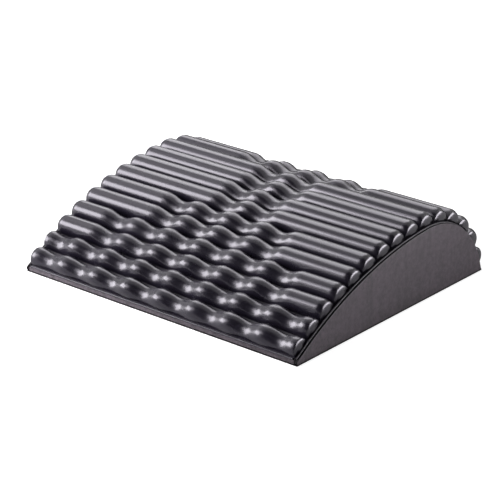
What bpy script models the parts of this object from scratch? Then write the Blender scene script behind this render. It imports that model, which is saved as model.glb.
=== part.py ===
"""Arched back stretcher: a moulded foam pad with beaded massage ribs over an arched foam core.

The ribs lie along X, the arch rises from the front edge (-Y) to its crest and drops steeply at the
rear (+Y). The arch is drawn once, as the line through the centres of the ribs: a straight run, a
long front arc, a short rear arc and a straight run. Every other outline is an offset of that line.
"""

import math

import bmesh
import bpy
from mathutils import Euler, Matrix

# Overall sizes, in metres
WIDTH = 0.360
CLEARANCE = 0.0003

# The line through the rib centres
FIRST_RIB_HEIGHT = 0.0131
FIRST_RIB_SETBACK = 0.0117
FRONT_SLOPE = math.radians(32.8)
CREST_SLOPE = math.radians(3.3)
REAR_SLOPE = math.radians(-70.8)
FRONT_RADIUS = 0.403
REAR_RADIUS = 0.0935

# Ribs and their beads
RIB_COUNT = 15
RIB_HALF_WIDTH = 0.0111
RIB_HEIGHT = 0.0138
RIB_FULLNESS = 2.3
RIB_ROOT = 0.0020
SHOULDER_LENGTH = 0.0095
SHOULDER_DROP = 0.0022
RIB_END_ROUND = 0.0010
BEADS_PER_RIB = 8
NECK_DEPTH = 0.0061
BEAD_STAGGER = 0.0020
NARROWEST_ROWS = (6, 9)
ROWS_PER_STEP = 2

# Pad, panels and trim. A level is measured square to the line through the rib centres.
GROOVE_LEVEL = 0.0019
FLANGE_LEVEL = -0.0012
PAD_UNDERSIDE_LEVEL = -0.0042
PANEL_EDGE_LEVEL = 0.0011
SEAM_WIDTH = 0.0030
RIB_SHELF = 0.0004
PANEL_THICKNESS = 0.0020
PANEL_ROUND = 0.0007
PIPING_RADIUS = 0.0008
BASE_THICKNESS = 0.0016
BASE_INSET = 0.0005
BAND_HEIGHT = 0.0038
BAND_THICKNESS = 0.0014

# How finely round shapes are drawn
ARC_STEP = math.radians(4.5)
RIB_ARC_SEGMENTS = 8
NECK_SEGMENTS = 6
SHOULDER_SEGMENTS = 2
EDGE_SEGMENTS = 2
PIPING_RESOLUTION = 1
SHARP_EDGE = math.radians(50)

# Sizes that follow from the ones above
RIB_LENGTH = WIDTH - 2 * (PANEL_THICKNESS + SEAM_WIDTH)
INSIDE_HALF = WIDTH / 2 - PANEL_THICKNESS - CLEARANCE
BEAD_PITCH = RIB_LENGTH / BEADS_PER_RIB
BAND_BOTTOM = BASE_THICKNESS + CLEARANCE
BAND_TOP = BAND_BOTTOM + BAND_HEIGHT
LIP_BOTTOM = BAND_TOP + CLEARANCE
FAR_OUTSIDE = WIDTH


def rib_reach(slope):
    """How far a rib's arched section reaches level forwards or backwards, where the arch has this slope."""
    power = RIB_FULLNESS / (RIB_FULLNESS - 1)
    along = abs(RIB_HALF_WIDTH * math.cos(slope)) ** power
    across = abs(RIB_HEIGHT * math.sin(slope)) ** power
    return (along + across) ** (1 / power)


def rib_section(half_width, height):
    """The arched section of a rib, with fuller shoulders than an ellipse, and its two root corners."""
    points = [(half_width, -RIB_ROOT)]
    for step in range(RIB_ARC_SEGMENTS + 1):
        angle = math.pi * step / RIB_ARC_SEGMENTS
        side = math.copysign(abs(math.cos(angle)) ** (2 / RIB_FULLNESS), math.cos(angle))
        points.append((half_width * side, height * abs(math.sin(angle)) ** (2 / RIB_FULLNESS)))
    points.append((-half_width, -RIB_ROOT))
    return points


def arch_point(distance, level):
    """The point and heading at this distance along the rib centre line, raised square to it by level."""
    y = FIRST_RIB_SETBACK
    z = FIRST_RIB_HEIGHT
    heading = FRONT_SLOPE
    if distance < 0:
        y += distance * math.cos(heading)
        z += distance * math.sin(heading)
    left = max(distance, 0.0)
    for radius, end_heading in ((FRONT_RADIUS, CREST_SLOPE), (REAR_RADIUS, REAR_SLOPE)):
        run = min(left, radius * (heading - end_heading))
        turned = heading - run / radius
        y += radius * (math.sin(heading) - math.sin(turned))
        z += radius * (math.cos(turned) - math.cos(heading))
        heading = turned
        left -= run
    y += left * math.cos(heading)
    z += left * math.sin(heading)
    return y - level * math.sin(heading), z + level * math.cos(heading), heading


def arch_length():
    """Distance along the rib centre line from the first rib to the last."""
    front = FRONT_RADIUS * (FRONT_SLOPE - CREST_SLOPE)
    return front + REAR_RADIUS * (CREST_SLOPE - REAR_SLOPE)


def rear_y(level, height):
    """Where the straight rear run of the arch at this level passes this height."""
    y, z, heading = arch_point(arch_length(), level)
    return y + (height - z) / math.tan(heading)


def front_z(level, y):
    """Height of the straight front run of the arch at this level, above this place."""
    first_y, first_z, heading = arch_point(0.0, level)
    return first_z - (first_y - y) * math.tan(heading)


def arch_line(level, low, front=0.0):
    """Points over the arch at this level, from low at the front to low at the rear."""
    start_z = front_z(level, front)
    if start_z > low:
        points = [(front, low), (front, start_z)]
    else:
        first_y, first_z, heading = arch_point(0.0, level)
        points = [(front, low), (first_y - (first_z - low) / math.tan(heading), low)]
    distance = 0.0
    for radius, turn in ((FRONT_RADIUS, FRONT_SLOPE - CREST_SLOPE), (REAR_RADIUS, CREST_SLOPE - REAR_SLOPE)):
        steps = math.ceil(turn / ARC_STEP * math.sqrt(radius / REAR_RADIUS))
        for step in range(steps):
            points.append(arch_point(distance + radius * turn * step / steps, level)[:2])
        distance += radius * turn
    points.append(arch_point(distance, level)[:2])
    points.append((rear_y(level, low), low))
    return points


def new_material(name, colour, roughness, metallic=0.0):
    material = bpy.data.materials.new(name)
    material.use_nodes = True
    shader = material.node_tree.nodes["Principled BSDF"]
    shader.inputs["Base Color"].default_value = (*colour, 1.0)
    shader.inputs["Roughness"].default_value = roughness
    shader.inputs["Metallic"].default_value = metallic
    material.diffuse_color = (*colour, 1.0)
    return material


def place(obj, collection, material=None):
    collection.objects.link(obj)
    if material:
        obj.data.materials.append(material)
    return obj


def shade_round(mesh):
    """Smooth shading that stops at the sharp edges."""
    mesh.shade_smooth()
    mesh.set_sharp_from_angle(angle=SHARP_EDGE)


def mesh_from_curve(name, curve, matrix):
    """A closed mesh made from a curve, whose loose caps are welded to its sides."""
    source = bpy.data.objects.new(name + "_outline", curve)
    bpy.context.scene.collection.objects.link(source)
    source.matrix_world = matrix
    bpy.context.view_layer.update()
    evaluated = source.evaluated_get(bpy.context.evaluated_depsgraph_get())
    mesh = bpy.data.meshes.new_from_object(evaluated)
    mesh.transform(source.matrix_world)
    mesh.name = name
    shape = bmesh.new()
    shape.from_mesh(mesh)
    bmesh.ops.remove_doubles(shape, verts=shape.verts, dist=1e-6)
    bmesh.ops.recalc_face_normals(shape, faces=shape.faces)
    shape.to_mesh(mesh)
    shape.free()
    shade_round(mesh)
    bpy.data.objects.remove(source)
    bpy.data.curves.remove(curve)
    return mesh


def across_matrix(x):
    """Turns a flat outline drawn in XY into the upright YZ plane at x, its thickness along X."""
    return Matrix.Translation((x, 0.0, 0.0)) @ Euler((math.pi / 2, 0.0, math.pi / 2)).to_matrix().to_4x4()


def outline_block(name, points, x_low, x_high):
    """A flat outline in the YZ plane, extruded from x_low to x_high."""
    curve = bpy.data.curves.new(name, "CURVE")
    curve.dimensions = "2D"
    curve.fill_mode = "BOTH"
    curve.extrude = (x_high - x_low) / 2
    spline = curve.splines.new("POLY")
    spline.points.add(len(points) - 1)
    for point, (y, z) in zip(spline.points, points):
        point.co = (y, z, 0.0, 1.0)
    spline.use_cyclic_u = True
    mesh = mesh_from_curve(name, curve, across_matrix((x_low + x_high) / 2))
    return bpy.data.objects.new(name, mesh)


def box_object(name, x_low, x_high, y_low, y_high, z_low, z_high):
    shape = bmesh.new()
    bmesh.ops.create_cube(shape, size=1.0)
    bmesh.ops.scale(shape, verts=shape.verts, vec=(x_high - x_low, y_high - y_low, z_high - z_low))
    middle = ((x_low + x_high) / 2, (y_low + y_high) / 2, (z_low + z_high) / 2)
    bmesh.ops.translate(shape, verts=shape.verts, vec=middle)
    mesh = bpy.data.meshes.new(name)
    shape.to_mesh(mesh)
    shape.free()
    return bpy.data.objects.new(name, mesh)


def add_bevel(obj, width):
    bevel = obj.modifiers.new("Rounded edges", "BEVEL")
    bevel.width = width
    bevel.segments = EDGE_SEGMENTS
    bevel.limit_method = "ANGLE"
    bevel.angle_limit = SHARP_EDGE


def necks_of_row(row):
    """Places of the necks along this row: the beaded stretch is narrowest in the middle rows."""
    first, last = NARROWEST_ROWS
    steps = math.ceil(max(0, first - row, row - last) / ROWS_PER_STEP)
    pairs = min(1 + steps, BEADS_PER_RIB // 2)
    stagger = BEAD_STAGGER if row % 2 == 0 else -BEAD_STAGGER
    return [(k + 0.5) * BEAD_PITCH + stagger for k in range(-pairs, pairs)]


def rib_height(x, necks):
    """Height of the rib at x: full, lowered by a smooth wave at each neck and by a shoulder at each end."""
    nearest = min(abs(x - neck) for neck in necks)
    share = min(nearest / (BEAD_PITCH / 2), 1.0)
    neck = NECK_DEPTH * (0.5 + 0.5 * math.cos(math.pi * share))
    into_shoulder = max(abs(x) - (RIB_LENGTH / 2 - SHOULDER_LENGTH), 0.0) / SHOULDER_LENGTH
    return RIB_HEIGHT - neck - SHOULDER_DROP * into_shoulder ** 2


def rib_stations(row):
    """Where the rib's section is drawn, as (x, half width, height) from its left end to its right end."""
    necks = necks_of_row(row)
    half = RIB_LENGTH / 2
    shoulder = half - SHOULDER_LENGTH
    body_end = half - RIB_END_ROUND
    places = set()
    for step in range(SHOULDER_SEGMENTS + 1):
        x = shoulder + (body_end - shoulder) * step / SHOULDER_SEGMENTS
        places.update((-x, x))
    for neck in necks:
        for step in range(NECK_SEGMENTS + 1):
            x = neck + BEAD_PITCH * (step / NECK_SEGMENTS - 0.5)
            if abs(x) < shoulder - RIB_END_ROUND:
                places.add(round(x, 7))
    body = [(x, RIB_HALF_WIDTH, rib_height(x, necks)) for x in sorted(places)]
    left, right = [], []
    for step in range(1, EDGE_SEGMENTS + 1):
        angle = math.pi / 2 * step / EDGE_SEGMENTS
        out = RIB_END_ROUND * math.sin(angle)
        inset = RIB_END_ROUND * (1 - math.cos(angle))
        left.insert(0, (-body_end - out, RIB_HALF_WIDTH - inset, body[0][2] - inset))
        right.append((body_end + out, RIB_HALF_WIDTH - inset, body[-1][2] - inset))
    return left + body + right


def make_rib(row):
    """One rib: an arched section carried along X from station to station, with a root inside the slab."""
    shape = bmesh.new()
    rings = []
    for x, half_width, height in rib_stations(row):
        section = rib_section(half_width, height)
        rings.append([shape.verts.new((x, y, z)) for y, z in section])
    for ring, following in zip(rings, rings[1:]):
        for i in range(len(ring)):
            j = (i + 1) % len(ring)
            shape.faces.new((ring[i], ring[j], following[j], following[i]))
    shape.faces.new(rings[0])
    shape.faces.new(rings[-1])
    bmesh.ops.recalc_face_normals(shape, faces=shape.faces)
    mesh = bpy.data.meshes.new(f"rib_{row + 1:02d}")
    shape.to_mesh(mesh)
    shape.free()
    shade_round(mesh)
    rib = bpy.data.objects.new(mesh.name, mesh)
    y, z, heading = arch_point(arch_length() * row / (RIB_COUNT - 1), 0.0)
    rib.location = (0.0, y, z)
    rib.rotation_euler.x = heading
    return rib


def add_boolean(obj, operation, other):
    """A Boolean with one object, or with all the objects of a collection."""
    boolean = obj.modifiers.new(operation.title(), "BOOLEAN")
    boolean.operation = operation
    boolean.solver = "EXACT"
    if isinstance(other, bpy.types.Collection):
        boolean.operand_type = "COLLECTION"
        boolean.collection = other
    else:
        boolean.object = other


def as_helper(obj, collection):
    place(obj, collection)
    obj.hide_render = True
    obj.display_type = "WIRE"
    return obj


def make_pad_cutters(cutters):
    """What the mould takes from the pad: the space under it, and a ledge at each side for the piping."""
    far = rear_y(0.0, 0.0) + FAR_OUTSIDE
    below = [(far, LIP_BOTTOM), (far, -FAR_OUTSIDE), (-FAR_OUTSIDE, -FAR_OUTSIDE), (-FAR_OUTSIDE, LIP_BOTTOM)]
    under = arch_line(PAD_UNDERSIDE_LEVEL, LIP_BOTTOM)[1:]
    as_helper(outline_block("space_under_pad", under + below, -FAR_OUTSIDE, FAR_OUTSIDE), cutters)
    above = [(far, 0.0), (far, FAR_OUTSIDE), (-FAR_OUTSIDE, FAR_OUTSIDE)]
    ledge = arch_line(FLANGE_LEVEL, 0.0, -FAR_OUTSIDE) + above
    for name, low, high in (
        ("left_ledge", -FAR_OUTSIDE, -RIB_LENGTH / 2 - RIB_SHELF),
        ("right_ledge", RIB_LENGTH / 2 + RIB_SHELF, FAR_OUTSIDE),
    ):
        as_helper(outline_block(name, ledge, low, high), cutters)


def make_ribbed_pad(parts, helpers, material):
    """The moulded pad: an arched slab that carries the ribs, with a thin flange at each side."""
    slab = outline_block("ribbed_pad", arch_line(GROOVE_LEVEL, 0.0), -INSIDE_HALF, INSIDE_HALF)
    place(slab, parts, material)
    ribs = bpy.data.collections.new("rib_blanks")
    cutters = bpy.data.collections.new("pad_cutters")
    helpers.children.link(ribs)
    helpers.children.link(cutters)
    for row in range(RIB_COUNT):
        as_helper(make_rib(row), ribs)
    make_pad_cutters(cutters)
    add_boolean(slab, "UNION", ribs)
    add_boolean(slab, "DIFFERENCE", cutters)
    return slab


def make_foam_core(parts, material):
    """The arched core fills the space under the pad, between the two bands and the two panels."""
    front = BAND_THICKNESS + CLEARANCE
    rear = rear_y(PANEL_EDGE_LEVEL, BAND_BOTTOM) - BAND_THICKNESS - CLEARANCE
    top = arch_line(PAD_UNDERSIDE_LEVEL - CLEARANCE, BAND_TOP, front)
    points = [(front, BAND_BOTTOM), *top, (rear, BAND_TOP), (rear, BAND_BOTTOM)]
    core = outline_block("foam_core", points, -INSIDE_HALF, INSIDE_HALF)
    return place(core, parts, material)


def make_side_panels(parts, material):
    """A flat D-shaped panel closes each side and stands a little proud of the ribs."""
    points = arch_line(PANEL_EDGE_LEVEL, BAND_BOTTOM)
    outer = WIDTH / 2
    for name, low, high in (
        ("left_side_panel", -outer, PANEL_THICKNESS - outer),
        ("right_side_panel", outer - PANEL_THICKNESS, outer),
    ):
        panel = place(outline_block(name, points, low, high), parts, material)
        add_bevel(panel, PANEL_ROUND)


def make_piping(parts, material):
    """A thin piping lies on the pad's flange, between the rib ends and each side panel."""
    middle = (RIB_LENGTH / 2 + RIB_SHELF + WIDTH / 2 - PANEL_THICKNESS) / 2
    level = FLANGE_LEVEL + CLEARANCE + PIPING_RADIUS
    low = LIP_BOTTOM + PIPING_RADIUS
    route = arch_line(level, low, PIPING_RADIUS)[1:]
    for name, x in (("left_piping", -middle), ("right_piping", middle)):
        curve = bpy.data.curves.new(name, "CURVE")
        curve.dimensions = "3D"
        curve.bevel_depth = PIPING_RADIUS
        curve.bevel_resolution = PIPING_RESOLUTION
        curve.use_fill_caps = True
        spline = curve.splines.new("POLY")
        spline.points.add(len(route) - 1)
        for point, (y, z) in zip(spline.points, route):
            point.co = (x, y, z, 1.0)
        place(bpy.data.objects.new(name, curve), parts, material)


def make_bands(parts, material):
    """A strip closes the low front edge under the pad's lip, and another the rear edge."""
    rear = rear_y(PANEL_EDGE_LEVEL, BAND_BOTTOM)
    for name, low, high in (
        ("front_band", 0.0, BAND_THICKNESS),
        ("rear_band", rear - BAND_THICKNESS, rear),
    ):
        band = box_object(name, -INSIDE_HALF, INSIDE_HALF, low, high, BAND_BOTTOM, BAND_TOP)
        place(band, parts, material)


def make_base_cover(parts, material):
    """The flat sheet that the stretcher lies on."""
    half = WIDTH / 2 - BASE_INSET
    rear = rear_y(PANEL_EDGE_LEVEL, BAND_BOTTOM) - BASE_INSET
    cover = box_object("base_cover", -half, half, BASE_INSET, rear, 0.0, BASE_THICKNESS)
    return place(cover, parts, material)


def centre_on_origin(parts, helpers):
    """Moves everything back by half the depth, so that the origin lies under the middle."""
    front = FIRST_RIB_SETBACK - rib_reach(FRONT_SLOPE)
    rear = arch_point(arch_length(), 0.0)[0] + rib_reach(REAR_SLOPE)
    shift = (front + rear) / 2
    for obj in [*parts.objects, *helpers.all_objects]:
        obj.location.y -= shift


def main():
    for obj in list(bpy.data.objects):
        bpy.data.objects.remove(obj)
    scene = bpy.context.scene
    parts = bpy.data.collections.new("back_stretcher")
    helpers = bpy.data.collections.new("helpers")
    scene.collection.children.link(parts)
    scene.collection.children.link(helpers)
    skin = new_material("moulded_skin", (0.028, 0.026, 0.030), 0.28)
    leatherette = new_material("leatherette", (0.072, 0.066, 0.070), 0.62)
    trim = new_material("piping_skin", (0.045, 0.042, 0.046), 0.45)
    foam = new_material("core_foam", (0.16, 0.16, 0.17), 0.95)
    base = new_material("base_fabric", (0.012, 0.012, 0.013), 0.85)
    make_ribbed_pad(parts, helpers, skin)
    make_foam_core(parts, foam)
    make_side_panels(parts, leatherette)
    make_piping(parts, trim)
    make_bands(parts, leatherette)
    make_base_cover(parts, base)
    centre_on_origin(parts, helpers)


main()
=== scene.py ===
"""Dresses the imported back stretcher: a soft ribbed pad with its trim, its finishes, and a plain studio."""

import math

import bpy
from bpy.props import FloatProperty, FloatVectorProperty, IntProperty, PointerProperty
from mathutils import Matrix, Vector


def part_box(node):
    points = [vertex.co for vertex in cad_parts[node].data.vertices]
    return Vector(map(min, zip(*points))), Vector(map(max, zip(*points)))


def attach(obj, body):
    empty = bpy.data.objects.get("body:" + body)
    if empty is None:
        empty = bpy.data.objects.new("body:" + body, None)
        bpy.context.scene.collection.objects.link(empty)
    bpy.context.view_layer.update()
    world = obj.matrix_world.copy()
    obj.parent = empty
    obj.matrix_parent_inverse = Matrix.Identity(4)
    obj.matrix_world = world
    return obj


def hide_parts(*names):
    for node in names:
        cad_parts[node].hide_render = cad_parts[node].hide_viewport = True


bl_info = {
    "name": "Back Stretcher",
    "version": (1, 0, 0),
    "blender": (4, 5, 0),
    "location": "3D View > Sidebar > Stretcher",
    "description": "Builds the ribbed back stretcher and its studio around the packed model",
    "category": "Add Mesh",
}

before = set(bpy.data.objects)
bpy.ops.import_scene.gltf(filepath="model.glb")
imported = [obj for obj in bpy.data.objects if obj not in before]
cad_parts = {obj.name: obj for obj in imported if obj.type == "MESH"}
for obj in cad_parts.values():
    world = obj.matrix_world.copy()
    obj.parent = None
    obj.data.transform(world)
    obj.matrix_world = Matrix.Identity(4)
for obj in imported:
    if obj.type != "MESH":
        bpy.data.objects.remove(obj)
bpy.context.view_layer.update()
FRONT_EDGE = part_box("front_band")[0].y
OUTER_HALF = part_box("right_side_panel")[1].x
PANEL_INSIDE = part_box("right_side_panel")[0].x
PAD_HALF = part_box("ribbed_pad")[1].x
LIP_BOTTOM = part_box("ribbed_pad")[0].z
PANEL_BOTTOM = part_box("right_side_panel")[0].z
# The pad's flange starts a hair inside the piping
PIPING_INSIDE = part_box("right_piping")[0].x - 0.0001

# The gap that the solids leave between pieces, and the distance within which two points are one
CLEARANCE = 0.0003
WELD = 1e-6

# The line through the rib centres, as the solids have it: an arc up to the crest and one down behind it
FIRST_RIB_HEIGHT = 0.0131
FIRST_RIB_SETBACK = 0.0117
FRONT_SLOPE = math.radians(32.8)
CREST_SLOPE = math.radians(3.3)
REAR_SLOPE = math.radians(-70.8)
FRONT_RADIUS = 0.403
REAR_RADIUS = 0.0935
ARC_LENGTH = FRONT_RADIUS * (FRONT_SLOPE - CREST_SLOPE) + REAR_RADIUS * (CREST_SLOPE - REAR_SLOPE)

# Levels over that line. The grooves and the panels' edge lie a little lower than in the solids
GROOVE_LEVEL = 0.0008
FLANGE_LEVEL = -0.0012
TRENCH_LEVEL = -0.0026
UNDERSIDE_LEVEL = -0.0042
PANEL_EDGE_LEVEL = -0.0005

# The ribs that are beaded least, and how many rows further on one more neck appears at each side
NARROWEST_ROWS = (6, 9)
ROWS_PER_STEP = 2

# The pad's front lip, in millimetres behind the front edge and over the lip's bottom: it overhangs a recess
LIP_OUTLINE = (
    (0.0, 0.0), (0.0, 0.7), (0.1, 1.1), (0.35, 1.4), (0.7, 1.45), (1.0, 1.25),
    (1.2, 0.8), (1.5, 0.5), (3.2, 0.5), (3.5, 1.2), (3.4, 3.3),
)
# How high over the lip's bottom the first rib starts, and how much higher it does so in a neck
FIRST_RIB_LIFT = 0.0034
NECK_LIFT = 0.0012

# At a rib's end: its section's fullness, how late its top falls away, and how much it narrows as it falls
END_FULLNESS = 2.1
SHOULDER_POWER = 2.2
NARROWING = 0.15
# How quickly the section takes the neck's fullness
NECK_POWER = 0.8

# A rib's foot stands this far over the groove, which is deeper where it is wider, down to the deepest level
FOOT_RISE = 0.0005
GROOVE_DEEPENING = 0.6
DEEPEST_GROOVE_LEVEL = -0.0006

# How far before its end a rib's edge starts to turn, and how far its undercut foot goes in
TURN_LENGTH = 0.0015
UNDERCUT_DEPTH = 0.0004

# How far the edge round a rib's end has turned at each of its sections. The end's domed face starts beside
# the last of them: so far out, and so far in from the outline, by the edge's radius
EDGE_TURNS = tuple(math.radians(degrees) for degrees in (25, 40, 55))
FACE_START_OUT = 0.82
FACE_START_IN = 0.45

# How finely the pad is drawn
RIB_ARC_SEGMENTS = 30
GROOVE_SHARES = (0.15, 0.5, 0.85)
SECTIONS_PER_BEAD = 17
SHOULDER_SECTIONS = 13
FACE_SHARES = (0.03, 0.07, 0.12, 0.18, 0.26, 0.36, 0.5, 0.66, 0.76, 0.82, 0.88, 0.94, 1.0)

# The turn between two points of the plain pieces' outlines on the rear arc. It is less on the front arc
ARC_STEP = math.radians(1.5)

# The fold line along a band, by its share of the band's height, with its half width and its depth
FOLD_SHARE = 0.45
FOLD_HALF_WIDTH = 0.0004
FOLD_DEPTH = 0.0005

# A panel's rim is painted near black, as painted shade of the seams: the faces whose normals point less than
# this to the side
SHADE_PAINTED_BELOW = 0.6

# The middle of the stretcher, which the lamps and the cards face
AIM = Vector((0.0, 0.0, 0.05))


def linear(hex_code):
    """A colour written as an sRGB hex code, as linear red, green and blue."""
    values = [int(hex_code[i:i + 2], 16) / 255 for i in (0, 2, 4)]
    return tuple(v / 12.92 if v <= 0.04045 else ((v + 0.055) / 1.055) ** 2.4 for v in values)


class StretcherSizes(bpy.types.PropertyGroup):
    """Sizes of the pad and its trim."""

    ribs: IntProperty(name="Ribs", description="Ribs over the arch", default=15, min=12, max=15)
    rib_length: FloatProperty(
        name="Rib length", description="Length of a rib between its ends", default=0.350, unit="LENGTH"
    )
    rib_half_width: FloatProperty(
        name="Rib half width", description="From a rib's middle to its foot", default=0.0111, unit="LENGTH"
    )
    rib_height: FloatProperty(
        name="Rib height", description="Height of a rib over its centre line", default=0.0138, unit="LENGTH"
    )
    rib_fullness: FloatProperty(
        name="Rib fullness", description="2 is an ellipse, more is a fuller section",
        default=2.3, min=2.0, max=3.0,
    )
    beads: IntProperty(
        name="Beads per rib", description="Beads in a rib that is beaded from end to end", default=8, min=2
    )
    neck_depth: FloatProperty(
        name="Neck depth", description="How far the rib dips between two beads", default=0.0062, unit="LENGTH"
    )
    rear_pinch: FloatProperty(
        name="Rear pinch", description="How far the rib's rear foot draws in there",
        default=0.0022, unit="LENGTH",
    )
    front_pinch: FloatProperty(
        name="Front pinch", description="How far its front foot draws in there", default=0.0007, unit="LENGTH"
    )
    neck_fullness: FloatProperty(
        name="Neck fullness", description="Fullness of the section's front half in a neck",
        default=1.6, min=1.3, max=3.0,
    )
    stagger: FloatProperty(
        name="Bead stagger", description="Shift of the beads, to and fro from rib to rib",
        default=0.0020, unit="LENGTH",
    )
    shoulder: FloatProperty(
        name="Shoulder length", description="Stretch over which a rib slopes down to its end",
        default=0.0070, unit="LENGTH",
    )
    bead_shoulder: FloatProperty(
        name="Bead shoulder length", description="The same where the rib ends in a bead",
        default=0.0135, unit="LENGTH",
    )
    shoulder_drop: FloatProperty(
        name="Shoulder drop", description="How far it slopes down", default=0.0032, unit="LENGTH"
    )
    end_round: FloatProperty(
        name="End edge radius", description="Radius of the edge round a rib's end",
        default=0.0007, unit="LENGTH",
    )
    end_dome: FloatProperty(
        name="End dome", description="How far a rib's end swells out near its rim",
        default=0.0013, unit="LENGTH",
    )
    dome_run: FloatProperty(
        name="End dome run", description="Over what depth from the rim it does so",
        default=0.0014, unit="LENGTH",
    )
    dome_slope: FloatProperty(
        name="End dome slope", description="How steeply it goes on swelling further in", default=0.11, min=0.0
    )
    undercut: FloatProperty(
        name="End undercut", description="Height of the recess at the foot of a rib's end",
        default=0.0018, unit="LENGTH",
    )
    band_gap: FloatProperty(
        name="Band gap", description="How far a band stops short of the side seams",
        default=0.0018, unit="LENGTH",
    )
    piping_radius: FloatProperty(
        name="Piping radius", description="Radius of the cord in the side seams",
        default=0.00075, unit="LENGTH",
    )
    edge_radius: FloatProperty(
        name="Edge radius", description="Rounding of the side panels' edges", default=0.0007, unit="LENGTH"
    )


class StretcherColours(bpy.types.PropertyGroup):
    """Colours of the finishes."""

    skin: FloatVectorProperty(
        name="Moulded skin", description="Skin of the ribbed pad", subtype="COLOR", default=linear("1d1a24")
    )
    leatherette: FloatVectorProperty(
        name="Leatherette", description="Side panels", subtype="COLOR", default=linear("473c45")
    )
    band: FloatVectorProperty(
        name="Bands", description="Folded strips at the front and the rear", subtype="COLOR",
        default=linear("544d53"),
    )
    piping: FloatVectorProperty(
        name="Piping", description="Cord in the side seams", subtype="COLOR", default=linear("4c484e")
    )
    # The base colour is also the near-black painted seam shade on the side panels' rims
    base: FloatVectorProperty(
        name="Base sheet", description="Woven sheet underneath", subtype="COLOR", default=linear("121113")
    )
    foam: FloatVectorProperty(
        name="Core foam", description="Foam block inside", subtype="COLOR", default=linear("6f6f72")
    )
    floor: FloatVectorProperty(
        name="Floor", description="Studio floor", subtype="COLOR", default=linear("f4f4f4")
    )
    lamp: FloatVectorProperty(
        name="Lamps", description="Colour of the soft lamps", subtype="COLOR", default=(0.98, 0.96, 1.0)
    )


class StretcherStudio(bpy.types.PropertyGroup):
    """Light levels of the studio."""

    key: FloatProperty(
        name="Key light", description="Radiance of the soft box at the front left", default=13.5, min=0
    )
    front: FloatProperty(
        name="Front light", description="Radiance of the small soft box over the camera's left",
        default=5.0, min=0,
    )
    back: FloatProperty(name="Back light", description="Radiance of the soft box behind", default=3.9, min=0)
    top: FloatProperty(
        name="Top light", description="Radiance of the dim soft box overhead at the left", default=1.0, min=0
    )
    rear_left: FloatProperty(
        name="Rear left light", description="Radiance of the small soft box at the rear left",
        default=3.0, min=0,
    )
    side: FloatProperty(
        name="Side light", description="Radiance of the soft box at the right", default=15.0, min=0
    )
    fill: FloatProperty(
        name="Fill", description="Level of the even light from all round", default=0.25, min=0
    )


def arch_point(distance, level):
    """Place and heading at this distance along the line through the rib centres, raised square to it."""
    y = FRONT_EDGE + FIRST_RIB_SETBACK
    z = FIRST_RIB_HEIGHT
    heading = FRONT_SLOPE
    if distance < 0:
        y += distance * math.cos(heading)
        z += distance * math.sin(heading)
    left = max(distance, 0.0)
    for radius, end_heading in ((FRONT_RADIUS, CREST_SLOPE), (REAR_RADIUS, REAR_SLOPE)):
        run = min(left, radius * (heading - end_heading))
        turned = heading - run / radius
        y += radius * (math.sin(heading) - math.sin(turned))
        z += radius * (math.cos(turned) - math.cos(heading))
        heading = turned
        left -= run
    y += left * math.cos(heading)
    z += left * math.sin(heading)
    return y - level * math.sin(heading), z + level * math.cos(heading), heading


def arch_point_above(distance, level, low):
    """The same, but slid along the arch's straight ends where it would lie below low."""
    y, z, heading = arch_point(distance, level)
    if z < low:
        y += (low - z) / math.tan(heading)
        z = low
    return y, z


def arch_line(level, low, front):
    """Points over the arch at this level, from low up and down to low, none further forward than front."""
    first_y, first_z, heading = arch_point(0.0, level)
    front_z = first_z - (first_y - front) * math.tan(heading)
    if front_z > low:
        points = [(front, low), (front, front_z)]
    else:
        points = [(first_y - (first_z - low) / math.tan(heading), low)]
    distance = 0.0
    for radius, turn in ((FRONT_RADIUS, FRONT_SLOPE - CREST_SLOPE), (REAR_RADIUS, CREST_SLOPE - REAR_SLOPE)):
        steps = math.ceil(turn / ARC_STEP * math.sqrt(radius / REAR_RADIUS))
        for i in range(steps):
            points.append(arch_point(distance + radius * turn * i / steps, level)[:2])
        distance += radius * turn
    points.append(arch_point(distance, level)[:2])
    points.append(arch_point_above(distance + FRONT_RADIUS, level, low))
    return points


def necks_of_row(row, sizes):
    """Places of the necks along this rib."""
    first, last = NARROWEST_ROWS
    steps = math.ceil(max(0, first - row, row - last) / ROWS_PER_STEP)
    pairs = min(1 + steps, sizes.beads // 2)
    stagger = sizes.stagger if row % 2 == 0 else -sizes.stagger
    pitch = sizes.rib_length / sizes.beads
    return [(k + 0.5) * pitch + stagger for k in range(-pairs, pairs)]


def neck_wave(x, necks, sizes):
    """How near to a neck this place along a rib is: 1 in the neck, 0 on a bead or a plain stretch."""
    pitch = sizes.rib_length / sizes.beads
    share = min(min(abs(x - neck) for neck in necks) / (pitch / 2), 1.0)
    return 0.5 + 0.5 * math.cos(math.pi * share)


def rib_section(x, row, sizes, necks):
    """The rib's reach to its front and its rear foot here, its height, and the fullness of both halves."""
    wave = neck_wave(x, necks[row], sizes)
    beaded_end = sizes.rib_length / 2 - max(necks[row]) < sizes.rib_length / sizes.beads
    shoulder = sizes.bead_shoulder if beaded_end else sizes.shoulder
    into = max(abs(x) - (sizes.rib_length / 2 - shoulder), 0.0) / shoulder
    drop = sizes.shoulder_drop * into ** SHOULDER_POWER
    fullness = sizes.rib_fullness + (END_FULLNESS - sizes.rib_fullness) * min(into, 1.0)
    front_fullness = fullness + (sizes.neck_fullness - fullness) * wave ** NECK_POWER
    return (
        sizes.rib_half_width - sizes.front_pinch * wave - NARROWING * drop,
        sizes.rib_half_width - sizes.rear_pinch * wave - NARROWING * drop,
        sizes.rib_height - sizes.neck_depth * wave - drop,
        front_fullness,
        fullness,
    )


def on_rib(row, sizes, across, rise):
    """A point of a rib's own section, given square to the arch, in the place of that rib."""
    y, z, heading = arch_point(ARC_LENGTH * row / (sizes.ribs - 1), 0.0)
    return (
        y - across * math.cos(heading) - rise * math.sin(heading),
        z - across * math.sin(heading) + rise * math.cos(heading),
    )


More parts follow.
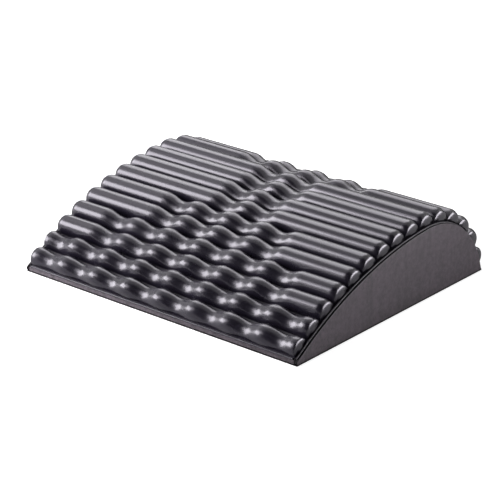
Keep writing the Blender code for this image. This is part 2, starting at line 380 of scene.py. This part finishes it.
def section_curve(angle, front, rear, height, front_fullness, rear_fullness):
    """Across and up, from a rib's front foot at angle 0 to its rear foot at half a turn."""
    reach, power = (front, 2 / front_fullness) if angle < math.pi / 2 else (-rear, 2 / rear_fullness)
    return reach * abs(math.cos(angle)) ** power, height * max(math.sin(angle), 0.0) ** power


def pad_columns(sizes):
    """The places round the arch, from front lip to rear, that every cross section of the pad shares."""
    pitch = ARC_LENGTH / (sizes.ribs - 1)
    columns = []
    for y, z in LIP_OUTLINE:
        columns.append({"point": (FRONT_EDGE + y / 1000, LIP_BOTTOM + z / 1000), "distance": -pitch})
    for row in range(sizes.ribs):
        last = row == sizes.ribs - 1
        for i in range(RIB_ARC_SEGMENTS + 1):
            columns.append({"row": row, "share": i / RIB_ARC_SEGMENTS, "rear_cut": last})
        if not last:
            for share in GROOVE_SHARES:
                columns.append({"groove": row, "share": share})
    return columns


def column_points(columns, x, sizes, necks, inset=0.0):
    """Y, Z and distance along the arch of each column, in the cross section at x drawn in by the inset."""
    points = []
    pitch = ARC_LENGTH / (sizes.ribs - 1)
    sections = [rib_section(x, row, sizes, necks) for row in range(sizes.ribs)]
    sunk = neck_wave(x, necks[0], sizes)
    shoulder = sizes.rib_length / 2 - sizes.shoulder
    near_end = min(max(abs(x) - shoulder, 0.0) / (sizes.shoulder - TURN_LENGTH), 1.0)
    for column in columns:
        if "point" in column:
            points.append((*column["point"], column["distance"]))
            continue
        if "groove" in column:
            row = column["groove"]
            behind = pitch * row + sections[row][1] - inset
            ahead = pitch * (row + 1) - sections[row + 1][0] + inset
            distance = behind + (ahead - behind) * column["share"]
            widening = ahead - behind - pitch + 2 * sizes.rib_half_width
            level = max(GROOVE_LEVEL - GROOVE_DEEPENING * widening, DEEPEST_GROOVE_LEVEL)
            level += (TRENCH_LEVEL - level) * near_end ** 2
            points.append((*arch_point_above(distance, level, LIP_BOTTOM), distance))
            continue
        row = column["row"]
        front, rear, height, front_fullness, rear_fullness = sections[row]
        section = (front - inset, rear - inset, height - inset, front_fullness, rear_fullness)
        foot = (GROOVE_LEVEL + FOOT_RISE) / (height - inset)
        first = math.asin(foot ** (front_fullness / 2))
        last = math.pi - math.asin(foot ** (rear_fullness / 2))
        if row == 0:
            first = cut_angle(row, sizes, section, LIP_BOTTOM + FIRST_RIB_LIFT + NECK_LIFT * sunk, 0.0)
        if column["rear_cut"]:
            last = cut_angle(row, sizes, section, LIP_BOTTOM, math.pi)
        angle = first + (last - first) * column["share"]
        across, rise = section_curve(angle, *section)
        y, z = on_rib(row, sizes, across, rise)
        z = max(z, LIP_BOTTOM)
        points.append((y, z, ARC_LENGTH * row / (sizes.ribs - 1) - across))
    return points


def cut_angle(row, sizes, section, level, foot):
    """Where this rib's flank over the given foot comes down to a level."""
    high, low = math.pi / 2, foot
    for _ in range(24):
        middle = (low + high) / 2
        if on_rib(row, sizes, *section_curve(middle, *section))[1] > level:
            high = middle
        else:
            low = middle
    return high


def end_swell(row, y, z, sizes, front, rear, height, front_fullness, rear_fullness):
    """How far a rib's end swells out at this point inside its outline: a dome, undercut at its foot."""
    centre_y, centre_z, heading = arch_point(ARC_LENGTH * row / (sizes.ribs - 1), 0.0)
    along = (y - centre_y) * math.cos(heading) + (z - centre_z) * math.sin(heading)
    up = max(-(y - centre_y) * math.sin(heading) + (z - centre_z) * math.cos(heading), 0.0)
    half_width, fullness = (rear, rear_fullness) if along > 0 else (front, front_fullness)
    reach = ((abs(along) / half_width) ** fullness + (up / height) ** fullness) ** (1 / fullness)
    depth = max(1 - reach, 0.0) * min(half_width, height)
    swell = sizes.end_dome * (1 - math.exp(-depth / sizes.dome_run)) + sizes.dome_slope * depth
    lifted = min(max((up - sizes.undercut / 2) / (sizes.undercut / 2), 0.0), 1.0)
    return swell * lifted - UNDERCUT_DEPTH * (1 - lifted)


def body_places(sizes):
    """Where along X the pad's cross sections lie between the two ends of its ribs."""
    shoulder = sizes.rib_length / 2 - sizes.bead_shoulder
    body_end = sizes.rib_length / 2 - TURN_LENGTH
    step = sizes.rib_length / sizes.beads / SECTIONS_PER_BEAD
    steps = round(2 * shoulder / step)
    inner = [-shoulder + 2 * shoulder * i / steps for i in range(steps + 1)]
    run = body_end - shoulder
    slope = [shoulder + run * i / SHOULDER_SECTIONS for i in range(1, SHOULDER_SECTIONS + 1)]
    return [-x for x in reversed(slope)] + inner + slope


def end_sections(side, columns, sizes, necks):
    """The sections past the ribs' bodies at one end: their rounded edge, their domed faces and the flange."""
    body_end = sizes.rib_length / 2 - TURN_LENGTH
    ending = []
    for turn in EDGE_TURNS:
        out = sizes.end_round * math.sin(turn)
        inset = sizes.end_round * (1 - math.cos(turn))
        row = column_points(columns, side * body_end, sizes, necks, inset)
        ending.append([(side * (body_end + out), y, z) for y, z, _ in row])
    outline = column_points(columns, side * body_end, sizes, necks, sizes.end_round * FACE_START_IN)
    face_x = body_end + sizes.end_round * FACE_START_OUT
    for share in FACE_SHARES:
        row = []
        for column, (y, z, distance) in zip(columns, outline):
            base_y, base_z = arch_point_above(distance, TRENCH_LEVEL, LIP_BOTTOM)
            y += (base_y - y) * share
            z += (base_z - z) * share
            swell = 0.0
            if "row" in column:
                section = rib_section(side * body_end, column["row"], sizes, necks)
                swell = end_swell(column["row"], y, z, sizes, *section)
            row.append((side * (face_x + swell), y, z))
        ending.append(row)
    for x, level in ((PIPING_INSIDE, FLANGE_LEVEL), (PAD_HALF, FLANGE_LEVEL), (PAD_HALF, UNDERSIDE_LEVEL)):
        places = [arch_point_above(distance, level, LIP_BOTTOM) for _, _, distance in outline]
        ending.append([(side * x, y, z) for y, z in places])
    return ending


def pad_sections(sizes):
    """Every cross section of the pad from its left end to its right, each a row of points."""
    columns = pad_columns(sizes)
    necks = [necks_of_row(row, sizes) for row in range(sizes.ribs)]
    body = [[(x, y, z) for y, z, _ in column_points(columns, x, sizes, necks)] for x in body_places(sizes)]
    left, right = (end_sections(side, columns, sizes, necks) for side in (-1, 1))
    return left[::-1] + body + right


def deselect():
    """Nothing is left selected or active."""
    if bpy.context.object and bpy.context.object.mode != "OBJECT":
        bpy.ops.object.mode_set(mode="OBJECT")
    bpy.ops.object.select_all(action="DESELECT")


def select(piece, kind, flags):
    """Selects the flagged vertices, edges or faces, and opens edit mode on them."""
    if piece.mode == "EDIT":
        bpy.ops.object.mode_set(mode="OBJECT")
    bpy.ops.object.mode_set(mode="EDIT")
    bpy.ops.mesh.select_mode(type=kind)
    bpy.ops.mesh.select_all(action="DESELECT")
    bpy.ops.object.mode_set(mode="OBJECT")
    parts = {"VERT": piece.data.vertices, "EDGE": piece.data.edges, "FACE": piece.data.polygons}[kind]
    parts.foreach_set("select", flags)
    bpy.ops.object.mode_set(mode="EDIT")


def round_edges(piece, width, segments, over=50.0):
    """Bevels the edges at which the surface turns by more than so many degrees, and applies the bevel."""
    bevel = piece.modifiers.new("Bevel", "BEVEL")
    bevel.width = width
    bevel.segments = segments
    bevel.limit_method = "ANGLE"
    bevel.angle_limit = math.radians(over)
    bpy.ops.object.modifier_apply(modifier=bevel.name)


def finish_piece(piece, name, nodes, material, sharp=35.0):
    """Names a modelled piece, settles its place in its mesh, shades it and ties it to the frame."""
    if piece.mode != "OBJECT":
        bpy.ops.object.mode_set(mode="OBJECT")
    piece.name = piece.data.name = name
    bpy.ops.object.transform_apply(location=True, rotation=True, scale=True)
    bpy.ops.object.shade_smooth_by_angle(angle=math.radians(sharp))
    piece.data.materials.clear()
    piece.data.materials.append(material)
    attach(piece, "root")
    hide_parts(*nodes)
    deselect()


def arch_block(points, x_low, x_high):
    """A plate of this outline in YZ, extruded along X from the low place to the high one."""
    deselect()
    bpy.ops.mesh.primitive_circle_add(vertices=len(points), radius=0.1, fill_type="NGON")
    block = bpy.context.object
    for vertex, (y, z) in zip(block.data.vertices, points):
        vertex.co = (x_low, y, z)
    select(block, "FACE", [True] * len(block.data.polygons))
    bpy.ops.mesh.extrude_region_move(TRANSFORM_OT_translate={"value": (x_high - x_low, 0.0, 0.0)})
    bpy.ops.mesh.select_all(action="SELECT")
    bpy.ops.mesh.normals_make_consistent(inside=False)
    bpy.ops.object.mode_set(mode="OBJECT")
    return block


def plain_block(low, high):
    """A block from its lowest corner to its highest."""
    deselect()
    middle = [(a + b) / 2 for a, b in zip(low, high)]
    bpy.ops.mesh.primitive_cube_add(size=1.0, location=middle)
    block = bpy.context.object
    bpy.ops.transform.resize(value=[b - a for a, b in zip(low, high)])
    bpy.ops.object.transform_apply(location=True, rotation=True, scale=True)
    return block


def add_node(tree, kind, values=None, links=None, **settings):
    """Adds a node, with its settings, the values of its sockets and what is linked into them."""
    node = tree.nodes.new(kind)
    for name, value in settings.items():
        setattr(node, name, value)
    for socket, value in (values or {}).items():
        node.inputs[socket].default_value = value
    for socket, source in (links or {}).items():
        tree.links.new(source, node.inputs[socket])
    return node


def new_material(name):
    """An empty material, its nodes, its surface shader and the object's own coordinates."""
    material = bpy.data.materials.new(name)
    material.use_nodes = True
    tree = material.node_tree
    shader = tree.nodes["Principled BSDF"]
    place = add_node(tree, "ShaderNodeTexCoord")
    return material, tree, shader, place.outputs["Object"]


def shade_of(tree, factor, dark, light, low=0.0, high=1.0):
    """A colour between dark and light, where the factor runs from low to high."""
    ramp = add_node(tree, "ShaderNodeValToRGB", links={"Fac": factor})
    ramp.color_ramp.elements[0].position = low
    ramp.color_ramp.elements[1].position = high
    ramp.color_ramp.elements[0].color = (*dark, 1.0)
    ramp.color_ramp.elements[1].color = (*light, 1.0)
    return ramp.outputs["Color"]


def times(colour, amount):
    """A lighter or darker copy of a colour."""
    return tuple(min(1.0, value * amount) for value in colour)


def moulded_skin_material(colour):
    """Integral polyurethane skin, moulded against polished metal: near black, with broad soft highlights."""
    material, tree, shader, place = new_material("moulded_polyurethane_skin")
    # Clouds of 60 mm, where the release agent left the skin a little duller
    clouds = add_node(
        tree, "ShaderNodeTexNoise", {"Scale": 16.0, "Detail": 3.0, "Roughness": 0.55}, {"Vector": place}
    )
    tone = shade_of(tree, clouds.outputs["Fac"], times(colour, 0.86), times(colour, 1.18), 0.3, 0.7)
    tree.links.new(tone, shader.inputs["Base Color"])
    gloss = add_node(
        tree, "ShaderNodeMapRange", {"From Min": 0.3, "From Max": 0.7, "To Min": 0.24, "To Max": 0.29},
        {"Value": clouds.outputs["Fac"]},
    )
    tree.links.new(gloss.outputs["Result"], shader.inputs["Roughness"])
    # Undulation of 7 mm from the soft foam below, and a pore texture of 0.5 mm
    waves = add_node(tree, "ShaderNodeTexNoise", {"Scale": 140.0, "Detail": 1.0}, {"Vector": place})
    soft = add_node(
        tree, "ShaderNodeBump", {"Strength": 0.05, "Distance": 0.0008}, {"Height": waves.outputs["Fac"]}
    )
    pores = add_node(tree, "ShaderNodeTexNoise", {"Scale": 2000.0, "Detail": 1.0}, {"Vector": place})
    fine = add_node(tree, "ShaderNodeBump", {"Strength": 0.10, "Distance": 0.00008},
                    {"Height": pores.outputs["Fac"], "Normal": soft.outputs["Normal"]})
    tree.links.new(fine.outputs["Normal"], shader.inputs["Normal"])
    shader.inputs["IOR"].default_value = 1.5
    shader.inputs["Specular Tint"].default_value = (0.97, 0.94, 1.0, 1.0)
    return material


def leatherette_material(colour):
    """Vinyl leathercloth, embossed with a fine kid grain: matt, mauve grey, a little smeared by wiping."""
    material, tree, shader, place = new_material("embossed_vinyl_leatherette")
    # Grain cells of 1.1 mm, the finest that shows
    cells = add_node(tree, "ShaderNodeTexVoronoi", {"Scale": 900.0, "Randomness": 1.0}, {"Vector": place},
                     feature="DISTANCE_TO_EDGE")
    # Upright smears 8 mm wide and 70 mm long, under a mottle of 5 mm and finer
    upright = add_node(tree, "ShaderNodeMapping", {"Scale": (120.0, 120.0, 14.0)}, {"Vector": place})
    smears = add_node(
        tree, "ShaderNodeTexNoise", {"Scale": 1.0, "Detail": 2.0}, {"Vector": upright.outputs["Vector"]}
    )
    mottle = add_node(
        tree, "ShaderNodeTexNoise", {"Scale": 220.0, "Detail": 5.0, "Roughness": 0.75}, {"Vector": place}
    )
    mixed = add_node(tree, "ShaderNodeMath", {1: 0.4}, {0: smears.outputs["Fac"], 2: mottle.outputs["Fac"]},
                     operation="MULTIPLY_ADD")
    tone = shade_of(tree, mixed.outputs["Value"], times(colour, 0.62), times(colour, 1.55), 0.56, 0.84)
    crevice = add_node(tree, "ShaderNodeMapRange", {"From Max": 0.12, "To Min": 0.72, "To Max": 1.0},
                       {"Value": cells.outputs["Distance"]})
    darker = add_node(tree, "ShaderNodeMix", {"Factor": 1.0}, {6: tone, 7: crevice.outputs["Result"]},
                      data_type="RGBA", blend_type="MULTIPLY")
    tree.links.new(darker.outputs[2], shader.inputs["Base Color"])
    height = add_node(tree, "ShaderNodeMapRange", {"From Max": 0.25}, {"Value": cells.outputs["Distance"]})
    grain = add_node(
        tree, "ShaderNodeBump", {"Strength": 0.35, "Distance": 0.00012}, {"Height": height.outputs["Result"]}
    )
    tree.links.new(grain.outputs["Normal"], shader.inputs["Normal"])
    shader.inputs["Roughness"].default_value = 0.55
    shader.inputs["Specular IOR Level"].default_value = 0.23
    return material


def piping_material(colour):
    """Extruded vinyl cord: the same mauve grey, smoother, with a dull sheen along its top."""
    material, tree, shader, place = new_material("extruded_vinyl_piping")
    # Dull patches 12 mm long from handling
    patches = add_node(tree, "ShaderNodeTexNoise", {"Scale": 80.0, "Detail": 2.0}, {"Vector": place})
    tone = shade_of(tree, patches.outputs["Fac"], times(colour, 0.8), times(colour, 1.2), 0.3, 0.7)
    tree.links.new(tone, shader.inputs["Base Color"])
    shader.inputs["Roughness"].default_value = 0.42
    shader.inputs["Specular IOR Level"].default_value = 0.2
    return material


def seam_shade_paint_material(colour):
    """Near black on a panel's rim faces: painted shade of the seams beside the piping, dull."""
    material, tree, shader, place = new_material("painted_seam_shade")
    # Mottle of 2 mm over the painted seam shade
    shade_mottle = add_node(tree, "ShaderNodeTexNoise", {"Scale": 500.0, "Detail": 2.0}, {"Vector": place})
    tone = shade_of(tree, shade_mottle.outputs["Fac"], times(colour, 0.6), times(colour, 1.5), 0.3, 0.7)
    tree.links.new(tone, shader.inputs["Base Color"])
    shader.inputs["Roughness"].default_value = 0.8
    shader.inputs["Specular IOR Level"].default_value = 0.1
    return material


def base_sheet_material(colour):
    """Woven polyester bottoming cloth: black, dead matt, with a plain weave of 1 mm."""
    material, tree, shader, place = new_material("woven_polyester_base")
    # Threads 0.5 mm wide, which is as fine as the render can hold
    threads = {"Scale": 318.0, "Distortion": 0.4}
    warp, weft = (
        add_node(tree, "ShaderNodeTexWave", threads, {"Vector": place}, bands_direction=axis) for axis in "XY"
    )
    weave = add_node(
        tree, "ShaderNodeMath", links={0: warp.outputs["Fac"], 1: weft.outputs["Fac"]}, operation="MULTIPLY"
    )
    tone = shade_of(tree, weave.outputs["Value"], times(colour, 0.6), times(colour, 1.3))
    tree.links.new(tone, shader.inputs["Base Color"])
    bumps = add_node(
        tree, "ShaderNodeBump", {"Strength": 0.4, "Distance": 0.00015}, {"Height": weave.outputs["Value"]}
    )
    tree.links.new(bumps.outputs["Normal"], shader.inputs["Normal"])
    shader.inputs["Roughness"].default_value = 0.85
    shader.inputs["Specular IOR Level"].default_value = 0.1
    return material


def core_foam_material(colour):
    """Cut closed-cell foam: grey, chalky, with open pores of 1.5 mm where the knife passed."""
    material, tree, shader, place = new_material("closed_cell_foam")
    pores = add_node(tree, "ShaderNodeTexVoronoi", {"Scale": 660.0}, {"Vector": place})
    tone = shade_of(tree, pores.outputs["Distance"], times(colour, 0.55), colour, 0.0, 0.45)
    tree.links.new(tone, shader.inputs["Base Color"])
    bumps = add_node(
        tree, "ShaderNodeBump", {"Strength": 0.5, "Distance": 0.0004}, {"Height": pores.outputs["Distance"]}
    )
    tree.links.new(bumps.outputs["Normal"], shader.inputs["Normal"])
    shader.inputs["Roughness"].default_value = 0.95
    return material


def seen_or_mirrored(tree, rays):
    """1 for rays that see a thing, mirrored or through glass too, and 0 for those that carry its light."""
    seen = rays.outputs["Is Camera Ray"]
    for kind in ("Is Glossy Ray", "Is Transmission Ray"):
        larger = add_node(tree, "ShaderNodeMath", links={0: seen, 1: rays.outputs[kind]}, operation="MAXIMUM")
        seen = larger.outputs["Value"]
    return seen


def floor_material(colour):
    """White studio paper, flat and even, lifted a little so that its far side stays white."""
    material, tree, shader, _ = new_material("white_studio_paper")
    shader.inputs["Base Color"].default_value = (*colour, 1.0)
    shader.inputs["Roughness"].default_value = 0.9
    rays = add_node(tree, "ShaderNodeLightPath")
    seen = seen_or_mirrored(tree, rays)
    # Seen by the camera, it glows by 0.8, and mirrored in the part only by 0.15
    level = add_node(
        tree, "ShaderNodeMapRange", {"To Min": 0.15, "To Max": 0.8}, {"Value": rays.outputs["Is Camera Ray"]}
    )
    lift = add_node(tree, "ShaderNodeMath", links={0: seen, 1: level.outputs["Result"]}, operation="MULTIPLY")
    shader.inputs["Emission Color"].default_value = (1.0, 1.0, 1.0, 1.0)
    tree.links.new(lift.outputs["Value"], shader.inputs["Emission Strength"])
    return material


def make_world(fill):
    """White where it is seen or mirrored, and a dim even fill as light."""
    world = bpy.data.worlds.new("studio")
    world.use_nodes = True
    tree = world.node_tree
    rays = add_node(tree, "ShaderNodeLightPath")
    seen = seen_or_mirrored(tree, rays)
    level = add_node(tree, "ShaderNodeMapRange", {"To Min": fill, "To Max": 1.0}, {"Value": seen})
    background = tree.nodes["Background"]
    background.inputs["Color"].default_value = (1.0, 1.0, 1.0, 1.0)
    tree.links.new(level.outputs["Result"], background.inputs["Strength"])
    bpy.context.scene.world = world


def soft_box(name, direction, distance, size, radiance, colour, roll=0.0, gloss_only=False):
    """A rectangular soft box that faces the stretcher, rolled by some degrees. It may light gloss alone."""
    away = Vector(direction).normalized()
    deselect()
    bpy.ops.object.light_add(
        type="AREA", location=AIM + away * distance, rotation=(-away).to_track_quat("-Z", "Y").to_euler()
    )
    lamp = bpy.context.object
    lamp.name = name
    lamp.rotation_euler.rotate_axis("Z", math.radians(roll))
    lamp.data.shape = "RECTANGLE"
    lamp.data.size, lamp.data.size_y = size
    lamp.data.energy = radiance * math.pi * size[0] * size[1]
    lamp.data.color = colour
    lamp.visible_diffuse = not gloss_only


def dark_card(name, direction, distance, size):
    """A dull black card that faces the stretcher from this direction, seen in its gloss alone."""
    away = Vector(direction).normalized()
    deselect()
    bpy.ops.mesh.primitive_plane_add(
        size=1.0, location=AIM + away * distance, rotation=away.to_track_quat("-Z", "Y").to_euler()
    )
    card = bpy.context.object
    card.name = name
    bpy.ops.transform.resize(value=(size[0], size[1], 1.0), orient_type="LOCAL")
    material, _, shader, _ = new_material("black_felt")
    shader.inputs["Base Color"].default_value = (0.004, 0.004, 0.004, 1.0)
    shader.inputs["Roughness"].default_value = 1.0
    shader.inputs["Specular IOR Level"].default_value = 0.0
    card.data.materials.append(material)
    card.visible_camera = False
    card.visible_diffuse = False
    card.visible_shadow = False
    card.visible_transmission = False
    return card


class STRETCHER_OT_ribbed_pad(bpy.types.Operator):
    """Models the moulded pad with its fifteen beaded ribs"""

    bl_idname = "stretcher.ribbed_pad"
    bl_label = "Ribbed pad"

    def execute(self, context):
        sizes = context.scene.stretcher_sizes
        sections = pad_sections(sizes)
        across, along = len(sections), len(sections[0])
        deselect()
        bpy.ops.mesh.primitive_grid_add(x_subdivisions=along - 1, y_subdivisions=across - 1, size=1.0)
        pad = bpy.context.object
        if len(pad.data.vertices) != across * along:
            raise RuntimeError(f"the grid has {len(pad.data.vertices)} points, not {across * along}")
        flat = [value for section in sections for point in section for value in point]
        pad.data.vertices.foreach_set("co", flat)
        pad.data.update()
        # The underside runs straight from one end of the pad to the other
        ends = {i * along + j for i in (0, across - 1) for j in range(1, along - 1)}
        wanted = [edge.vertices[0] in ends and edge.vertices[1] in ends for edge in pad.data.edges]
        select(pad, "EDGE", wanted)
        bpy.ops.mesh.bridge_edge_loops()
        # That leaves the bottoms of the front lip and of the rear edge open
        bpy.ops.mesh.select_all(action="DESELECT")
        bpy.ops.mesh.select_mode(type="EDGE")
        bpy.ops.mesh.select_non_manifold(
            extend=False, use_wire=False, use_multi_face=False, use_non_contiguous=False, use_verts=False
        )
        bpy.ops.mesh.edge_face_add()
        bpy.ops.mesh.select_all(action="SELECT")
        bpy.ops.mesh.remove_doubles(threshold=WELD)
        bpy.ops.mesh.normals_make_consistent(inside=False)
        material = moulded_skin_material(tuple(context.scene.stretcher_colours.skin))
        finish_piece(pad, "ribbed_pad_skin", ["ribbed_pad"], material, sharp=60.0)
        return {"FINISHED"}


class STRETCHER_OT_foam_core(bpy.types.Operator):
    """Models the arched foam block that fills the space under the pad"""

    bl_idname = "stretcher.foam_core"
    bl_label = "Foam core"

    def execute(self, context):
        low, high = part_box("foam_core")
        line = arch_line(UNDERSIDE_LEVEL - CLEARANCE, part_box("front_band")[1].z, low.y)
        points = [(low.y, low.z), *line, (high.y, low.z)]
        core = arch_block(points, low.x, high.x)
        round_edges(core, width=0.0004, segments=2)
        colour = tuple(context.scene.stretcher_colours.foam)
        finish_piece(core, "arched_foam_core", ["foam_core"], core_foam_material(colour))
        return {"FINISHED"}


class STRETCHER_OT_side_panels(bpy.types.Operator):
    """Models the two flat panels that close the sides"""

    bl_idname = "stretcher.side_panels"
    bl_label = "Side panels"

    def execute(self, context):
        sizes = context.scene.stretcher_sizes
        points = arch_line(PANEL_EDGE_LEVEL, PANEL_BOTTOM, FRONT_EDGE)
        material = leatherette_material(tuple(context.scene.stretcher_colours.leatherette))
        # The panels' rim faces get near black: painted shade of the seams
        rim_shade_paint = seam_shade_paint_material(tuple(context.scene.stretcher_colours.base))
        for side, node in ((-1, "left_side_panel"), (1, "right_side_panel")):
            low, high = sorted((side * PANEL_INSIDE, side * OUTER_HALF))
            panel = arch_block(points, low, high)
            round_edges(panel, sizes.edge_radius, segments=4)
            finish_piece(panel, node + "_leatherette", [node], material)
            panel.data.materials.append(rim_shade_paint)
            # Rim faces take the painted seam shade
            for face in panel.data.polygons:
                face.material_index = int(abs(face.normal.x) < SHADE_PAINTED_BELOW)
        return {"FINISHED"}


class STRETCHER_OT_piping(bpy.types.Operator):
    """Lays the piping cord in the seam at each side of the pad"""

    bl_idname = "stretcher.piping"
    bl_label = "Piping"

    def execute(self, context):
        sizes = context.scene.stretcher_sizes
        radius = sizes.piping_radius
        middle = PANEL_INSIDE - CLEARANCE - radius
        material = piping_material(tuple(context.scene.stretcher_colours.piping))
        route = arch_line(FLANGE_LEVEL + CLEARANCE + radius, LIP_BOTTOM + radius, FRONT_EDGE + radius)
        for side, node in ((-1, "left_piping"), (1, "right_piping")):
            deselect()
            bpy.ops.curve.primitive_nurbs_path_add()
            cord = bpy.context.object
            cord.data.splines.clear()
            spline = cord.data.splines.new("POLY")
            spline.points.add(len(route) - 1)
            for point, (y, z) in zip(spline.points, route):
                point.co = (side * middle, y, z, 1.0)
            cord.data.bevel_depth = radius
            cord.data.bevel_resolution = 6
            cord.data.use_fill_caps = True
            bpy.ops.object.convert(target="MESH")
            cord = bpy.context.object
            select(cord, "VERT", [True] * len(cord.data.vertices))
            bpy.ops.mesh.remove_doubles(threshold=WELD)
            bpy.ops.mesh.normals_make_consistent(inside=False)
            finish_piece(cord, node + "_cord", [node], material)
        return {"FINISHED"}


class STRETCHER_OT_bands(bpy.types.Operator):
    """Models the folded leatherette strips under the pad's front and rear edges"""

    bl_idname = "stretcher.bands"
    bl_label = "Bands"

    def execute(self, context):
        sizes = context.scene.stretcher_sizes
        material = leatherette_material(tuple(context.scene.stretcher_colours.band))
        material.name = "folded_vinyl_leatherette"
        for node in ("front_band", "rear_band"):
            low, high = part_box(node)
            inner, outer = (high.y, low.y) if node == "front_band" else (low.y, high.y)
            inward = math.copysign(FOLD_DEPTH, inner - outer)
            fold = low.z + FOLD_SHARE * (high.z - low.z)
            points = [
                (inner, low.z),
                (outer, low.z),
                (outer, fold - FOLD_HALF_WIDTH),
                (outer + inward, fold),
                (outer, fold + FOLD_HALF_WIDTH),
                (outer, high.z),
                (inner, high.z),
            ]
            band = arch_block(points, low.x + sizes.band_gap, high.x - sizes.band_gap)
            round_edges(band, width=0.0003, segments=3, over=30.0)
            finish_piece(band, node + "_leatherette", [node], material)
        return {"FINISHED"}


class STRETCHER_OT_base_cover(bpy.types.Operator):
    """Models the woven sheet that the stretcher lies on"""

    bl_idname = "stretcher.base_cover"
    bl_label = "Base cover"

    def execute(self, context):
        low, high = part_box("base_cover")
        sheet = plain_block(low, high)
        round_edges(sheet, width=0.0004, segments=2)
        colour = tuple(context.scene.stretcher_colours.base)
        finish_piece(sheet, "base_cover_cloth", ["base_cover"], base_sheet_material(colour))
        # Stretched flat over the underside and bonded there, so its cut is the size of the base
        return {"FINISHED"}


class STRETCHER_OT_studio(bpy.types.Operator):
    """Sets up the white floor, the soft boxes, the fill and the camera"""

    bl_idname = "stretcher.studio"
    bl_label = "Studio"

    def execute(self, context):
        colours = context.scene.stretcher_colours
        studio = context.scene.stretcher_studio
        deselect()
        bpy.ops.mesh.primitive_plane_add(size=8.0)
        floor = bpy.context.object
        floor.name = "studio_floor"
        floor.data.materials.append(floor_material(tuple(colours.floor)))
        lamp = tuple(colours.lamp)
        soft_box("key_soft_box", (-0.76, -0.57, 0.31), 1.3, (0.90, 0.66), studio.key, lamp)
        for name, direction, distance, size, radiance, roll in (
            ("front_soft_box", (-0.37, -0.73, 0.58), 1.3, (0.60, 0.55), studio.front, 0.0),
            ("back_soft_box", (-0.36, 0.54, 0.75), 1.2, (0.90, 0.80), studio.back, 20.0),
            ("top_soft_box", (-0.75, -0.12, 0.65), 0.7, (0.30, 0.36), studio.top, 0.0),
            ("rear_left_soft_box", (-0.72, 0.53, 0.45), 1.3, (0.45, 0.50), studio.rear_left, 0.0),
            ("side_soft_box", (0.88, 0.38, 0.30), 0.9, (0.95, 0.52), studio.side, 0.0),
        ):
            soft_box(name, direction, distance, size, radiance, lamp, roll, gloss_only=True)
        dark_card("camera_side_card", (0.42, -0.72, 0.58), 1.1, (2.2, 1.9))
        dark_card("rear_card", (-0.25, 0.50, 0.05), 0.56, (1.8, 0.19))
        make_world(studio.fill)
        deselect()
        # Fitted to the round ends of the ribs and the corners of the base in the photograph
        bpy.ops.object.camera_add(
            location=(1.34196, FRONT_EDGE - 1.45339, 0.88878),
            rotation=(math.radians(90 - 22.473), 0.0, math.radians(40.005)),
        )
        camera = bpy.context.object
        camera.name = "photo_camera"
        camera.data.sensor_width = 36.0
        camera.data.lens = 157.99
        context.scene.camera = camera
        context.scene.view_settings.view_transform = "Standard"
        deselect()
        return {"FINISHED"}


OPERATORS = (
    STRETCHER_OT_ribbed_pad,
    STRETCHER_OT_foam_core,
    STRETCHER_OT_side_panels,
    STRETCHER_OT_piping,
    STRETCHER_OT_bands,
    STRETCHER_OT_base_cover,
    STRETCHER_OT_studio,
)


class STRETCHER_PT_panel(bpy.types.Panel):
    """Lists the sizes, the colours, the light levels and the steps"""

    bl_idname = "STRETCHER_PT_panel"
    bl_label = "Back Stretcher"
    bl_space_type = "VIEW_3D"
    bl_region_type = "UI"
    bl_category = "Stretcher"

    def draw(self, context):
        scene = context.scene
        for group in (scene.stretcher_sizes, scene.stretcher_colours, scene.stretcher_studio):
            box = self.layout.box()
            for name in group.__annotations__:
                box.prop(group, name)
        for operator in OPERATORS:
            self.layout.operator(operator.bl_idname)


GROUPS = (StretcherSizes, StretcherColours, StretcherStudio)


def register():
    """Makes the settings, the operators and the panel known to Blender."""
    for cls in (*GROUPS, *OPERATORS, STRETCHER_PT_panel):
        bpy.utils.register_class(cls)
    bpy.types.Scene.stretcher_sizes = PointerProperty(type=StretcherSizes)
    bpy.types.Scene.stretcher_colours = PointerProperty(type=StretcherColours)
    bpy.types.Scene.stretcher_studio = PointerProperty(type=StretcherStudio)


def unregister():
    """Takes them away again."""
    del bpy.types.Scene.stretcher_studio
    del bpy.types.Scene.stretcher_colours
    del bpy.types.Scene.stretcher_sizes
    for cls in reversed((*GROUPS, *OPERATORS, STRETCHER_PT_panel)):
        bpy.utils.unregister_class(cls)


def main():
    """Builds every piece and the studio."""
    register()
    bpy.ops.stretcher.ribbed_pad()
    bpy.ops.stretcher.foam_core()
    bpy.ops.stretcher.side_panels()
    bpy.ops.stretcher.piping()
    bpy.ops.stretcher.bands()
    bpy.ops.stretcher.base_cover()
    bpy.ops.stretcher.studio()


if __name__ == "__main__":
    main()
